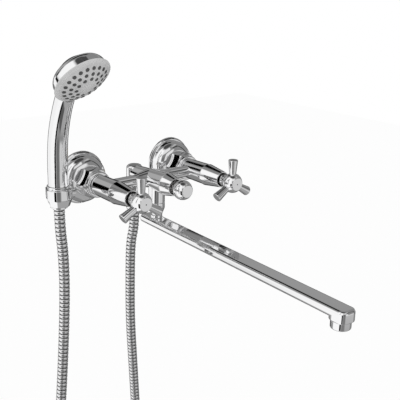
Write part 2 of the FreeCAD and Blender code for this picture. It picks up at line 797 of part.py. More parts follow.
w = size.spout_half_width
bar = pressed(
    "spout_bar",
    [
        (-w, -size.spout_heel, size.spout_heel_round),
        (w, -size.spout_heel, size.spout_heel_round),
        (w, size.spout_length, size.spout_tip_round),
        (-w, size.spout_length, size.spout_tip_round),
    ],
    size.spout_thickness,
    (0, -size.swivel_station, AXIS - bar_bottom),
    bar_turn,
    size.spout_edge,
)
outlet_bottom = size.spout_top + size.outlet_drop
outlet = pressed(
    "spout_outlet",
    [
        (-w, size.spout_length - size.outlet_length, size.spout_tip_round),
        (w, size.spout_length - size.outlet_length, size.spout_tip_round),
        (w, size.spout_length, size.spout_tip_round),
        (-w, size.spout_length, size.spout_tip_round),
    ],
    size.outlet_drop - size.spout_edge,
    (0, -size.swivel_station, AXIS - outlet_bottom),
    bar_turn,
    size.outlet_edge,
)
neck = turned(
    "spout_neck",
    [
        (0, -size.spout_top - 2),
        (size.neck_outer, -size.spout_top - 2),
        (size.neck_outer, -size.socket_end),
        (size.neck_head, -size.socket_end + 0.2),
        (size.neck_head, -size.neck_top - size.spout_seal_pitch * 2),
        (size.neck_head - size.seal_section * 1.6, -size.neck_top - size.spout_seal_pitch * 2),
        (size.neck_head - size.seal_section * 1.6, -size.neck_top - size.spout_seal_pitch * 2 + 2.2),
        (size.neck_head, -size.neck_top - size.spout_seal_pitch * 2 + 2.2),
        (size.neck_head, -size.neck_top - size.spout_seal_pitch),
        (size.neck_head - size.seal_section * 1.6, -size.neck_top - size.spout_seal_pitch),
        (size.neck_head - size.seal_section * 1.6, -size.neck_top - size.spout_seal_pitch + 2.2),
        (size.neck_head, -size.neck_top - size.spout_seal_pitch + 2.2),
        (size.neck_head, -size.neck_top, 0.6),
        (0, -size.neck_top),
    ],
    swivel,
    UPWARD,
)
channel_floor = (size.spout_thickness - size.channel_height) / 2
channel = pressed(
    "spout_channel",
    [
        (-size.channel_half_width, -size.neck_bore, size.neck_bore - 0.2),
        (size.channel_half_width, -size.neck_bore, size.neck_bore - 0.2),
        (size.channel_half_width, size.spout_length - size.outlet_setback + size.channel_end, 4.0),
        (-size.channel_half_width, size.spout_length - size.outlet_setback + size.channel_end, 4.0),
    ],
    size.channel_height,
    (0, -size.swivel_station, AXIS - bar_bottom + channel_floor),
    bar_turn,
)
neck_hole = rod("neck_hole", size.neck_bore, bar_bottom - channel_floor - size.neck_top,
                (0, -size.swivel_station, AXIS - bar_bottom + channel_floor), UP)
mouth_top = bar_bottom - channel_floor - 1.6
mouth = rod("spout_mouth", size.aerator_thread + size.thread_gap, outlet_bottom - mouth_top + 1,
            along_spout(outlet_reach, outlet_bottom + 1), UP)
spout_solid = joined("spout_solid", [bar, outlet, neck])
keep("spout", cut("spout", spout_solid, [channel, neck_hole, mouth]))

seal_rings = []
for index in (1, 2):
    ring = doc.addObject("Part::Torus", f"spout_ring_{index}")
    bind(ring, "Radius1", size.socket_bore - size.seal_section * 0.9 - 0.02)
    bind(ring, "Radius2", size.seal_section * 0.75)
    height = AXIS - size.neck_top - size.spout_seal_pitch * index + 1.1
    seal_rings.append(place(ring, (0, -size.swivel_station, height)))
spout_seals = doc.addObject("Part::Compound", "spout_seals")
spout_seals.Links = seal_rings
keep("spout_seals", spout_seals)

retainer_top = -size.socket_end - size.part_gap
retainer_bottom = retainer_top - size.retainer_height
retainer = turned(
    "spout_retainer_ring",
    tube_corners(size.neck_outer + size.running_gap, size.retainer_radius, retainer_bottom,
                 retainer_top, 0.3),
    swivel,
    UPWARD,
)
gap = size.part_gap
split = block("retainer_gap", (size.retainer_radius * 2, 1.2, size.retainer_height + 2),
              (0, -size.swivel_station - 0.6, AXIS + retainer_bottom - 1))
keep("spout_retainer", cut("spout_retainer", retainer, [split]))
nut_lip = retainer_bottom - gap
nut_bore = size.socket_thread + size.thread_gap
keep(
    "spout_nut",
    turned(
        "spout_nut",
        [
            (size.neck_outer + gap, -size.spout_nut_end),
            (size.spout_nut_tip, -size.spout_nut_end, 0.4),
            (size.socket_radius, -size.spout_nut_end + 9.5, 4.0),
            (size.socket_radius, -size.socket_depth - 0.25, 0.5),
            (nut_bore, -size.socket_depth - 0.25),
            (nut_bore, nut_lip),
            (size.neck_outer + gap, nut_lip),
        ],
        swivel,
        UPWARD,
    ),
)
keep(
    "spout_slip_ring",
    turned(
        "spout_slip_ring",
        tube_corners(size.neck_outer + 0.1, size.slip_ring_radius, -size.spout_top + 0.05,
                     -size.spout_nut_end - gap, 0.9),
        swivel,
        UPWARD,
    ),
)

aerator_at = along_spout(outlet_reach, outlet_bottom)
keep(
    "aerator_housing",
    turned(
        "aerator_housing",
        [
            (size.aerator_thread - size.aerator_wall, -size.aerator_neck),
            (size.aerator_thread, -size.aerator_neck),
            (size.aerator_thread, 0),
            (size.aerator_radius, 0, 0.4),
            (size.aerator_radius, size.aerator_length, 1.6),
            (size.aerator_thread - size.aerator_wall - 1, size.aerator_length),
            (size.aerator_thread - size.aerator_wall - 1, size.aerator_length - 1.4),
            (size.aerator_thread - size.aerator_wall, size.aerator_length - 1.4),
        ],
        aerator_at,
        DOWNWARD,
    ),
)
insert_blank = turned(
    "aerator_insert_blank",
    [
        (0, 1.4 - size.aerator_neck),
        (size.aerator_thread - size.aerator_wall - size.thread_gap, 1.4 - size.aerator_neck, 0.4),
        (size.aerator_thread - size.aerator_wall - size.thread_gap, size.aerator_length - 1.5),
        (0, size.aerator_length - 1.5),
    ],
    aerator_at,
    DOWNWARD,
)
jet_start = aerator_at[2] - size.aerator_length - 2
jet_length = size.aerator_length + 8
jets = [rod("jet_0", size.jet_radius, jet_length, (aerator_at[0], aerator_at[1], jet_start), UP)]
for count, ring_radius in ((6, 2.6), (12, 5.2)):
    for index in range(count):
        turn = 2 * math.pi * index / count
        x = ring_radius * math.cos(turn) + aerator_at[0]
        y = aerator_at[1] + ring_radius * math.sin(turn)
        jets.append(rod(f"jet_{count}_{index}", size.jet_radius, jet_length, (x, y, jet_start), UP))
keep("aerator_insert", cut("aerator_insert", insert_blank, jets))
keep(
    "aerator_washer",
    turned(
        "aerator_washer",
        tube_corners(size.aerator_thread - 3, size.aerator_thread - 0.1,
                     -size.aerator_neck - 1.4, -size.aerator_neck, 0.3),
        aerator_at,
        DOWNWARD,
    ),
)

# Shower outlet: the hexagonal nut and washer that hold the hose on the elbow.
outlet_axis = (0, -size.elbow_station, AXIS)
nut_top = size.elbow_depth + gap
washer_top = size.outlet_depth
washer_bottom = size.outlet_depth + size.washer_thickness
nut_bottom = washer_bottom + size.hose_nut_tail
hose_hole = size.hose_radius + 0.15
keep(
    "hose_nut",
    hexagonal(
        "hose_nut",
        [
            (size.outlet_thread + size.thread_gap, nut_top),
            (size.hose_nut_corner - 1.2, nut_top),
            (size.hose_nut_corner, nut_top + 1.0),
            (size.hose_nut_corner, nut_bottom - 5.0),
            (size.hose_radius + 1.6, nut_bottom, 1.0),
            (hose_hole, nut_bottom),
            (hose_hole, washer_bottom + 2.4),
            (size.outlet_thread + size.thread_gap, washer_bottom + 2.4),
        ],
        size.hose_nut_corner,
        nut_top,
        nut_bottom,
        outlet_axis,
        DOWNWARD,
    ),
)
keep(
    "hose_nut_washer",
    turned(
        "hose_nut_washer",
        tube_corners(size.outlet_bore, size.outlet_thread - 0.2, washer_top, washer_bottom, 0.2),
        outlet_axis,
        DOWNWARD,
    ),
)
keep(
    "hose_ferrule",
    turned(
        "hose_ferrule",
        [
            (size.hose_bore - 1.4, washer_bottom),
            (size.outlet_thread - 0.4, washer_bottom),
            (size.outlet_thread - 0.4, washer_bottom + 2.2),
            (size.hose_bore - 0.1, washer_bottom + 2.2),
            (size.hose_bore - 0.1, nut_bottom + 6),
            (size.hose_bore - 1.4, nut_bottom + 6),
        ],
        outlet_axis,
        DOWNWARD,
    ),
)

# Hand shower holder: a ring under the left union nut with an arm, and the slotted cup on it.
cup_axis = (size.cup_x, -size.cup_station, AXIS)
left_axis = (SIDES["left"], 0, AXIS)
for side, name in (("left", "holder_ring"), ("right", "right_collar_ring")):
    ring = turned(
        name,
        tube_corners(size.tail_radius + 0.1, size.ring_radius, size.ring_start, size.ring_end, 1.6),
        (SIDES[side], 0, AXIS),
        OUTWARD,
    )
    if side == "right":
        keep(name, ring)
arm_start = size.cup_x + size.cup_top_radius - 2.0
arm_length = SIDES["left"] - arm_start - size.ring_radius + 1.5
arm_mid = (size.ring_start + size.ring_end) / 2
boss_z = AXIS - size.boss_drop
arm = block("arm_bar", (arm_length, size.arm_width, size.arm_thickness),
            (arm_start, -arm_mid - size.arm_width / 2, AXIS - size.arm_thickness / 2))
boss_start = size.cup_x + size.cup_top_radius - 2.6
boss = rod("arm_boss", size.boss_radius, size.boss_length + 2, (boss_start, -arm_mid, boss_z),
           Vector(1, 0, 0))
cup_height = size.cup_top - size.cup_bottom
cup_clear = rod("cup_clearance", size.cup_top_radius + 0.02, cup_height + 4,
                (size.cup_x, -size.cup_station, AXIS + size.cup_bottom - 2), UP)
screw_x = size.cup_x + size.cup_top_radius - 6.0
screw_hole = rod("arm_screw_hole", size.screw_radius + size.thread_gap, 20, (screw_x, -arm_mid, boss_z),
                 Vector(1, 0, 0))
screw_end = size.cup_x + size.cup_top_radius + size.boss_length
head_room = rod("arm_screw_room", size.screw_head + size.part_gap, size.screw_head_length + 2,
                (screw_end - 0.6, -arm_mid, boss_z), Vector(1, 0, 0))
arm_solid = joined("holder_arm_solid", [doc.getObject("holder_ring"), arm, boss])
keep("holder_arm", cut("holder_arm", arm_solid, [cup_clear, screw_hole, head_room]))

inner_top = size.cup_top_radius - size.cup_wall
inner_bottom = size.cup_bottom_radius - size.cup_wall + 0.2
cup_blank = turned(
    "cup_blank",
    [
        (inner_bottom, size.cup_bottom),
        (size.cup_bottom_radius, size.cup_bottom, 1.0),
        (size.cup_top_radius - 0.4, size.cup_bottom + cup_height * 0.42, 5.0),
        (size.cup_top_radius, size.cup_top, 1.0),
        (inner_top, size.cup_top),
    ],
    cup_axis,
    UPWARD,
)
slot_turn = math.radians(number(size.slot_angle))
slot_half = size.slot_width / 2
slot = block("cup_slot", (size.cup_top_radius * 2, size.slot_width, cup_height + 4),
             (size.cup_x + slot_half * math.sin(slot_turn),
              slot_half * -math.cos(slot_turn) - size.cup_station,
              AXIS + size.cup_bottom - 2),
             Rotation(Vector(0, 0, 1), number(size.slot_angle)))
cup_screw_hole = rod("cup_screw_hole", size.screw_radius + size.thread_gap, 20,
                     (size.cup_x + inner_top - 3, -arm_mid, boss_z), Vector(1, 0, 0))
keep("holder_cup", cut("holder_cup", cup_blank, [slot, cup_screw_hole]))
holder_screw = joined("holder_screw", [
    rod("holder_screw_shank", size.screw_radius, 6.5, (screw_end, -arm_mid, boss_z), Vector(-1, 0, 0)),
    rod("holder_screw_head", size.screw_head, 1.8, (screw_end - 0.6, -arm_mid, boss_z), Vector(1, 0, 0)),
])
keep("holder_screw", holder_screw)

# Conical nut of the hose, which rests in the cup, with its washer.
cone_gap = 0.25
taper_top = inner_top - cone_gap + (inner_top - inner_bottom) / cup_height * (size.cone_top - size.cup_top)
nipple = size.outlet_thread
keep(
    "hose_cone",
    turned(
        "hose_cone",
        [
            (hose_hole, size.cone_bottom),
            (size.cone_tip_radius, size.cone_bottom, 0.6),
            (size.cone_tail_radius, size.cone_bottom + 7.0, 1.0),
            (inner_bottom - cone_gap, size.cup_bottom),
            (taper_top, size.cone_top, 0.5),
            (nipple + size.thread_gap, size.cone_top),
            (nipple + size.thread_gap, size.cone_top - 12),
            (hose_hole, size.cone_top - 12),
        ],
        cup_axis,
        UPWARD,
    ),
)
cone_seat = size.cone_top - 12
keep(
    "hose_cone_washer",
    turned(
        "hose_cone_washer",
        tube_corners(size.hose_bore + 1, nipple - 0.2, cone_seat + 2.2, cone_seat + 4.2, 0.2),
        cup_axis,
        UPWARD,
    ),
)
keep(
    "hose_cone_ferrule",
    turned(
        "hose_cone_ferrule",
        [
            (size.hose_bore - 1.4, size.cone_bottom - 6),
            (size.hose_bore - 0.1, size.cone_bottom - 6),
            (size.hose_bore - 0.1, cone_seat),
            (nipple - 0.4, cone_seat),
            (nipple - 0.4, cone_seat + 2.2),
            (size.hose_bore - 1.4, cone_seat + 2.2),
        ],
        cup_axis,
        UPWARD,
    ),
)

# Hand shower: a handle that curves forward into a domed head. The curve lies in an upright plane
# turned handset_turn from straight out, and t is the distance from the cup's axis in that plane.
plane_turn = math.radians(number(size.handset_turn))
forward = Vector(-math.sin(plane_turn), -math.cos(plane_turn), 0)
foot = Vector(number(size.cup_x), -number(size.cup_station), number(AXIS))
sideways = forward.cross(Vector(0, 0, 1))


def in_plane(t, height):
    """A point of the hand shower's plane."""
    return foot + forward * t + Vector(0, 0, height)


handle_base = number(size.cone_top) + 0.3
HANDLE = [
    # distance forward, height, radius as a share of the foot's
    (0.0, handle_base, 1.00),
    (0.0, 30.0, 0.99),
    (0.6, 50.0, 0.98),
    (2.3, 69.0, 0.96),
    (6.7, 90.0, 0.94),
    (12.0, 107.0, 0.92),
    (18.3, 122.5, 0.92),
    (25.0, 135.0, 0.94),
    (32.0, 146.0, 0.88),
    (38.0, 153.0, 0.66),
]


def handle_loft(name, radii):
    """A smooth solid through round sections along the handle, each square to its run."""
    sections = []
    for index, (t, height, _) in enumerate(HANDLE):
        section = doc.addObject("Part::Circle", f"{name}_{index}")
        bind(section, "Radius", radii[index])
        before = HANDLE[max(index - 1, 0)]
        after = HANDLE[min(index + 1, len(HANDLE) - 1)]
        run = in_plane(after[0], after[1]) - in_plane(before[0], before[1])
        along = run.normalize() if index > 1 else Vector(0, 0, 1)
        across = Rotation(sideways, along.cross(sideways), along, "XYZ")
        section.Placement = Placement(in_plane(t, height), across)
        sections.append(section)
    loft = doc.addObject("Part::Loft", name)
    loft.Sections = sections
    loft.Solid = True
    return loft


handle_radii = [size.handle_foot_radius * share for _, _, share in HANDLE]
handle_outside = handle_loft("handle_outside", handle_radii)
handle_inside = handle_loft("handle_inside", [radius - size.handle_wall for radius in handle_radii])
tilt = math.radians(number(size.face_tilt))
face_out = forward * math.cos(tilt) - Vector(0, 0, math.sin(tilt))
face_at = in_plane(number(size.face_reach), number(size.face_height))
face_turn = Rotation(Vector(0, 1, 0), face_out)
face_place = (face_at.x, face_at.y, face_at.z)
rim = size.head_radius - size.head_lip
head_wall = size.head_wall
head = turned(
    "head_dome",
    [
        (0, -size.head_depth),
        (size.head_crown, -size.head_depth, size.head_crown_round),
        (size.head_shoulder, -size.head_shoulder_depth, size.head_round),
        (rim, -size.rim_depth),
        (0, -size.rim_depth),
    ],
    face_place,
    face_turn,
)
head_inside = turned(
    "head_inside",
    [
        (0, head_wall - size.head_depth),
        (size.head_crown, head_wall - size.head_depth, size.head_crown_round - head_wall),
        (size.head_shoulder - head_wall, head_wall - size.head_shoulder_depth, size.head_round - head_wall),
        (rim - head_wall, 1 - size.rim_depth),
        (0, 1 - size.rim_depth),
    ],
    face_place,
    face_turn,
)
handle_solid = joined("handset_solid", [handle_outside, head])
nipple_room = rod("nipple_room", nipple + 0.05, 14, (size.cup_x, -size.cup_station, AXIS + handle_base - 1), UP)
face_room = rod("face_room", size.head_radius + size.part_gap, size.face_crown,
                tuple(face_at - face_out * number(size.rim_depth)), face_out)
trim_seat = rod("trim_seat", rim - head_wall, size.trim_depth + size.running_gap,
                tuple(face_at - face_out * number(size.trim_depth + size.running_gap)), face_out)
handset_hollows = [handle_inside, head_inside, nipple_room, face_room, trim_seat]
keep("handset_shell", cut("handset_shell", handle_solid, handset_hollows))
nipple_bottom = cone_seat + 4.2
keep(
    "handset_nipple",
    turned(
        "handset_nipple",
        [
            (size.handle_bore, nipple_bottom),
            (nipple, nipple_bottom, 0.4),
            (nipple, handle_base + 12.9),
            (size.handle_bore, handle_base + 12.9),
        ],
        cup_axis,
        UPWARD,
    ),
)

# Face of the hand shower: a trim ring, a crowned plate with holes, and the soft mat behind it
# whose nozzles stand through the holes, each square to the crown.
trim_inner = size.head_radius - size.trim_width
mouth_radius = rim - head_wall - size.thread_gap
keep(
    "face_trim",
    turned(
        "face_trim",
        [
            (trim_inner, -size.trim_depth),
            (mouth_radius, -size.trim_depth),
            (mouth_radius, size.running_gap - size.rim_depth),
            (size.head_radius, size.running_gap - size.rim_depth),
            (size.head_radius, size.rim_depth / 4, size.rim_depth / 2),
            (trim_inner, size.crown_edge),
        ],
        face_place,
        face_turn,
    ),
)
crown_corner = trim_inner * 0.537
crown_drop = size.face_crown - size.crown_edge


def crowned(name, back, front, edge):
    """A dished disc whose back and front lie that far behind the face's crown."""
    return turned(
        name,
        [
            (0, size.face_crown - back),
            (crown_corner, size.face_crown - back, size.crown_round),
            (edge, size.crown_edge - back),
            (edge, size.crown_edge - front),
            (crown_corner, size.face_crown - front, size.crown_round),
            (0, size.face_crown - front),
        ],
        face_place,
        face_turn,
    )


def on_crown(ring_radius, turn):
    """The point of the face's crown at a ring and an angle, and the direction out of it there."""
    rise = 2 * number(crown_drop) / number(trim_inner)
    share = number(ring_radius) / number(trim_inner)
    height = number(size.face_crown) - number(crown_drop) * share ** 2
    lean = math.atan(rise * share)
    around = Vector(math.cos(turn), 0, math.sin(turn))
    spot = around * number(ring_radius) + Vector(0, height, 0)
    out = around * math.sin(lean) + Vector(0, math.cos(lean), 0)
    return face_at + face_turn.multVec(spot), face_turn.multVec(out)


plate_blank = crowned("plate_blank", size.plate_thickness, 0, trim_inner - size.running_gap)
mat_front = size.plate_thickness + size.running_gap
mat_parts = [crowned("mat_blank", mat_front + size.mat_thickness, mat_front, trim_inner - size.part_gap)]
holes = []
# The rings of nozzles start together, a little to the left of the face's highest point.
to_left = face_out.cross(Vector(0, 0, 1)).normalize() * math.sin(math.radians(5))
to_top = (Vector(0, 0, 1) - face_out * face_out.z).normalize() * math.cos(math.radians(5))
first = face_turn.inverted().multVec(to_top + to_left)
first_turn = math.atan2(first.z, first.x)
nozzle_root = size.plate_thickness + size.mat_thickness / 2
for count, ring_radius in ((10, size.inner_ring), (15, size.middle_ring), (20, size.outer_ring)):
    for index in range(count):
        spot, out = on_crown(ring_radius, first_turn + 2 * math.pi * index / count)
        start = tuple(spot - out * number(nozzle_root))
        name = f"{count}_{index}"
        holes.append(rod(f"hole_{name}", size.nozzle_radius + size.thread_gap, nozzle_root + 2, start, out))
        mat_parts.append(
            rod(f"nozzle_{name}", size.nozzle_radius, nozzle_root + size.nozzle_stand, start, out)
        )
keep("face_plate", cut("face_plate", plate_blank, holes))
keep("nozzle_mat", joined("nozzle_mat", mat_parts))

# Shower hose: its route hangs from the outlet nut, loops round below and rises to the cup. The
# points are from the mixer's axis. The tube runs straight between them, with a tangent arc at
# each point whose radius is 0.45 of the shorter run over the tangent of half the turn.
HOSE_ROUTE = [
    (0, -20, -53.0), (0, -20, -78), (-5, -17.5, -104), (-5.6, -16.5, -150), (-5.2, -15.5, -225),
    (0, -14.5, -300), (8, -14, -430), (15, -17, -546), (13, -21, -652), (-19, -25, -696),
    (-71, -29, -713), (-123, -33, -696), (-155, -37, -652), (-158, -40, -546), (-151, -43, -405),
    (-139, -45, -275), (-131, -46.3, -152), (-130.5, -46, -86), (-134.5, -46, -47),
    (-134.5, -46, -18.5),
]


def hose_path(points):
    """The route as straight runs and tangent arcs: a list of edges, and the arcs' radii."""
    edges = []
    radii = []
    last = points[0]
    for before, corner, after in zip(points, points[1:], points[2:]):
        back = before - corner
        ahead_of = after - corner
        shorter = min(back.Length, ahead_of.Length)
        turn = math.pi - back.getAngle(ahead_of)
        reach = 0.45 * shorter
        radii.append(reach / math.tan(turn / 2))
        enter = corner + back.normalize() * reach
        leave = corner + ahead_of.normalize() * reach
        bulge = radii[-1] * (1 / math.cos(turn / 2) - 1)
        middle = corner + (back + ahead_of).normalize() * bulge
        edges.append(Part.LineSegment(last, enter).toShape())
        edges.append(Part.Arc(enter, middle, leave).toShape())
        last = leave
    edges.append(Part.LineSegment(last, points[-1]).toShape())
    return edges, radii


def along_path(edges, distance):
    """The point and the direction at a distance along the edges."""
    for edge in edges:
        if distance <= edge.Length or edge is edges[-1]:
            where = edge.getParameterByLength(min(distance, edge.Length))
            return edge.valueAt(where), edge.tangentAt(where)
        distance -= edge.Length
    return None


def ring_wire(edges, distance, radius, steady):
    """A circle square to the path, its own X axis kept close to a steady direction."""
    point, direction = along_path(edges, distance)
    across = (steady - direction * steady.dot(direction)).normalize()
    circle = Part.Circle(point, direction, radius)
    circle.XAxis = across
    return Part.Wire(circle.toShape())


rise = Vector(0, 0, number(AXIS))
route = [Vector(*point) + rise for point in HOSE_ROUTE]
hose_edges, hose_radii = hose_path(route)
hose_length = sum(edge.Length for edge in hose_edges)
steady = Vector(0, 1, 0)
plain_end = 2 * number(size.hose_radius)
ribs = int(number(size.hose_ribs))
pitch = (hose_length - 2 * plain_end) / ribs
crest = number(size.hose_radius)
root = number(size.hose_root_radius)
rings = [(0.0, crest), (plain_end - 1.0, crest)]
for index in range(ribs):
    start = plain_end + pitch * index
    rings += [(start + pitch * share, radius)
              for share, radius in ((0.0, root), (0.22, crest), (0.68, crest), (0.90, root))]
rings += [(hose_length - plain_end + 1.0, crest), (hose_length, crest)]
outer_wires = [ring_wire(hose_edges, distance, radius, steady) for distance, radius in rings]
bore_wires = [ring_wire(hose_edges, distance, number(size.hose_bore), steady) for distance, _ in rings]
faces = Part.makeLoft(outer_wires, False, True).Faces + Part.makeLoft(bore_wires, False, True).Faces
for outer_wire, bore_wire in ((outer_wires[0], bore_wires[0]), (outer_wires[-1], bore_wires[-1])):
    faces.append(Part.Face([outer_wire, bore_wire]))
hose_shell = Part.makeShell(faces)
hose_shell.sewShape()
hose_solid = Part.Solid(hose_shell)
hose_solid.fix(0.001, 0.001, 0.001)
if hose_solid.Volume < 0:
    hose_solid.reverse()
hose = doc.addObject("Part::Feature", "shower_hose")
hose.Shape = hose_solid
keep("shower_hose", hose)

doc.recompute()
failed = [thing.Name for thing in doc.Objects if "Invalid" in thing.State or "Error" in thing.State]
if failed:
    raise RuntimeError(f"failed to build: {failed}")
failed = [node for node, piece in pieces.items()
          if piece.Shape.isNull() or not piece.Shape.isValid() or piece.Shape.Volume <= 0]
if failed:
    raise RuntimeError(f"no valid shape: {failed}")

mean = math.pi * (crest**2 - number(size.hose_bore) ** 2) * hose_length
print(f"hose length {hose_length:.1f}, rib pitch {pitch:.2f}, volume {hose.Shape.Volume:.0f} of {mean:.0f}")
print("hose arc radii", [round(radius) for radius in hose_radii])
os.makedirs("parts", exist_ok=True)
for node, piece in pieces.items():
    piece.Shape.exportStep(f"parts/{node}.step")
print(f"{len(pieces)} pieces written")
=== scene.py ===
import math
import bpy
from mathutils import Matrix, Vector


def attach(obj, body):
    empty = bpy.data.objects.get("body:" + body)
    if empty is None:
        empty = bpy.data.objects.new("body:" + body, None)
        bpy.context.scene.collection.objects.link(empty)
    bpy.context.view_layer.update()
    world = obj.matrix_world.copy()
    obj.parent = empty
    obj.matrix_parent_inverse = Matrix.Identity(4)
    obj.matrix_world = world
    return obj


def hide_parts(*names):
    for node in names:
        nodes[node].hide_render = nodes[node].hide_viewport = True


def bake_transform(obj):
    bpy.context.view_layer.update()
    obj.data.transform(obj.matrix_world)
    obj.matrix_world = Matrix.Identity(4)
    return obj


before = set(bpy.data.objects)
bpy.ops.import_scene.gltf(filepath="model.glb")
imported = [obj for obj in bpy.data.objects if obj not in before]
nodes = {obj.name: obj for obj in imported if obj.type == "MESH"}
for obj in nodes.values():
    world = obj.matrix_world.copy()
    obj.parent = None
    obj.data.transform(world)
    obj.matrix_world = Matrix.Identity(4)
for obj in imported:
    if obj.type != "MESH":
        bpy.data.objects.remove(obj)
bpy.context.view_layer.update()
scene = bpy.context.scene
scene.view_settings.view_transform = "Standard"

# The camera stands where the photograph was taken from: about a metre from the mixer, at its left
# and 27 cm above its axis, looking down and across it through a longish lens.
LENS_MM, SENSOR_MM = 65.46, 36.0
CAMERA_AT = Vector((-0.56758, -0.82677, 0.27698))
CAMERA_BACK = Vector((-0.6197, -0.7249, 0.3009)).normalized()
CAMERA_ROLL = math.radians(-1.4896)


def place_camera():
    """Puts the camera at its place, rolled a little as in the photograph."""
    level = Vector((0, 0, 1)).cross(CAMERA_BACK).normalized()
    upright = CAMERA_BACK.cross(level)
    right = level * math.cos(CAMERA_ROLL) - upright * math.sin(CAMERA_ROLL)
    up = CAMERA_BACK.cross(right)
    data = bpy.data.cameras.new("camera")
    data.lens, data.sensor_width = LENS_MM, SENSOR_MM
    camera = bpy.data.objects.new("camera", data)
    turn = Matrix((right, up, CAMERA_BACK)).transposed().to_4x4()
    camera.matrix_world = Matrix.Translation(CAMERA_AT) @ turn
    scene.collection.objects.link(camera)
    scene.camera = camera


place_camera()

# Shower hose: an interlocked metal hose of pressed rings, chrome plated, held by a ferrule in the
# hexagonal nut under the body and by another in the conical nut of the hand shower. It hangs from
# both in a long loop.
AXIS_RISE = 0.006  # height of the body's axis over the wall inlets
HOSE_ROUTE_MM = [  # from the body's outlet to the hand shower, with heights from the body's axis
    (0, -20, -53.0), (0, -20, -78), (-5, -17.5, -104), (-5.6, -16.5, -150), (-5.2, -15.5, -225),
    (0, -14.5, -300), (8, -14, -430), (15, -17, -546), (13, -21, -652), (-19, -25, -696),
    (-71, -29, -713), (-123, -33, -696), (-155, -37, -652), (-158, -40, -546), (-151, -43, -405),
    (-139, -45, -275), (-131, -46.3, -152), (-130.5, -46, -86), (-134.5, -46, -47),
    (-134.5, -46, -18.5),
]
STEPS_PER_RUN = 24
HOSE_RADIUS, HOSE_GROOVE_RADIUS, HOSE_SIDES = 0.0070, 0.0061, 24
RIB_PITCH, STEPS_PER_RIB = 0.0056, 10
RIB_PROFILE = [  # share of the pitch along a ring, and share of its full height there
    (0.09, 0.0), (0.19, 0.72), (0.32, 0.95), (0.5, 1.0), (0.68, 0.95), (0.81, 0.72), (0.91, 0.0),
]
RIB_HEIGHT = "rib_height"
# the second colour is painted shade, laid into the grooves between the rings
HOSE_CHROME, GROOVE_PAINTED_SHADE = (0.84, 0.84, 0.845), (0.10, 0.10, 0.10)
GROOVE_TOP, CREST_FOOT = 0.05, 0.55  # shares of a ring's height between which the painted shade of the grooves fades out
CLOUD_DETAIL = 1.5


def join(tree, *pairs):
    """Links outputs to inputs, pair by pair."""
    for source, target in pairs:
        tree.links.new(source, target)


def plated(name, color, polish, cloud_size, ripple=0.0):
    """Metal whose roughness drifts between two values in clouds, over a barely wavy ground."""
    material = bpy.data.materials.new(name)
    material.use_nodes = True
    tree = material.node_tree
    shader = tree.nodes["Principled BSDF"]
    shader.inputs["Base Color"].default_value = (*color, 1)
    shader.inputs["Metallic"].default_value = 1.0
    place = tree.nodes.new("ShaderNodeTexCoord")
    clouds = tree.nodes.new("ShaderNodeTexNoise")
    clouds.inputs["Scale"].default_value = 1 / cloud_size
    clouds.inputs["Detail"].default_value = CLOUD_DETAIL
    spread = tree.nodes.new("ShaderNodeMapRange")
    spread.inputs["To Min"].default_value, spread.inputs["To Max"].default_value = polish
    join(tree, (place.outputs["Object"], clouds.inputs["Vector"]),
         (clouds.outputs["Fac"], spread.inputs["Value"]),
         (spread.outputs["Result"], shader.inputs["Roughness"]))
    if ripple:
        bump = tree.nodes.new("ShaderNodeBump")
        bump.inputs["Distance"].default_value = ripple
        join(tree, (clouds.outputs["Fac"], bump.inputs["Height"]),
             (bump.outputs["Normal"], shader.inputs["Normal"]))
    return material


def paint_groove_shade(material, dark, plain):
    """Paints shade into the colour of the grooves between the rings, where the hose mirrors little
    but itself.
    """
    tree = material.node_tree
    height, tint = tree.nodes.new("ShaderNodeAttribute"), tree.nodes.new("ShaderNodeValToRGB")
    height.attribute_name = RIB_HEIGHT
    low, high = tint.color_ramp.elements
    low.position, high.position = GROOVE_TOP, CREST_FOOT
    low.color, high.color = (*dark, 1), (*plain, 1)
    join(tree, (height.outputs["Fac"], tint.inputs["Fac"]),
         (tint.outputs["Color"], tree.nodes["Principled BSDF"].inputs["Base Color"]))


def hose_line():
    """The hose's centre line: a smooth spline with the route's points as its control points."""
    curve = bpy.data.curves.new("hose_line", "CURVE")
    curve.dimensions = "3D"
    spline = curve.splines.new("NURBS")
    spline.points.add(len(HOSE_ROUTE_MM) - 1)
    for point, (x, y, z) in zip(spline.points, HOSE_ROUTE_MM):
        point.co = (x / 1000, y / 1000, z / 1000 + AXIS_RISE, 1)
    spline.order_u = 3
    spline.use_endpoint_u = True
    spline.resolution_u = STEPS_PER_RUN
    line = bpy.data.objects.new("hose_line", curve)
    scene.collection.objects.link(line)
    graph = bpy.context.evaluated_depsgraph_get()
    mesh = bpy.data.meshes.new_from_object(line.evaluated_get(graph), depsgraph=graph)
    bpy.data.objects.remove(line)
    return mesh


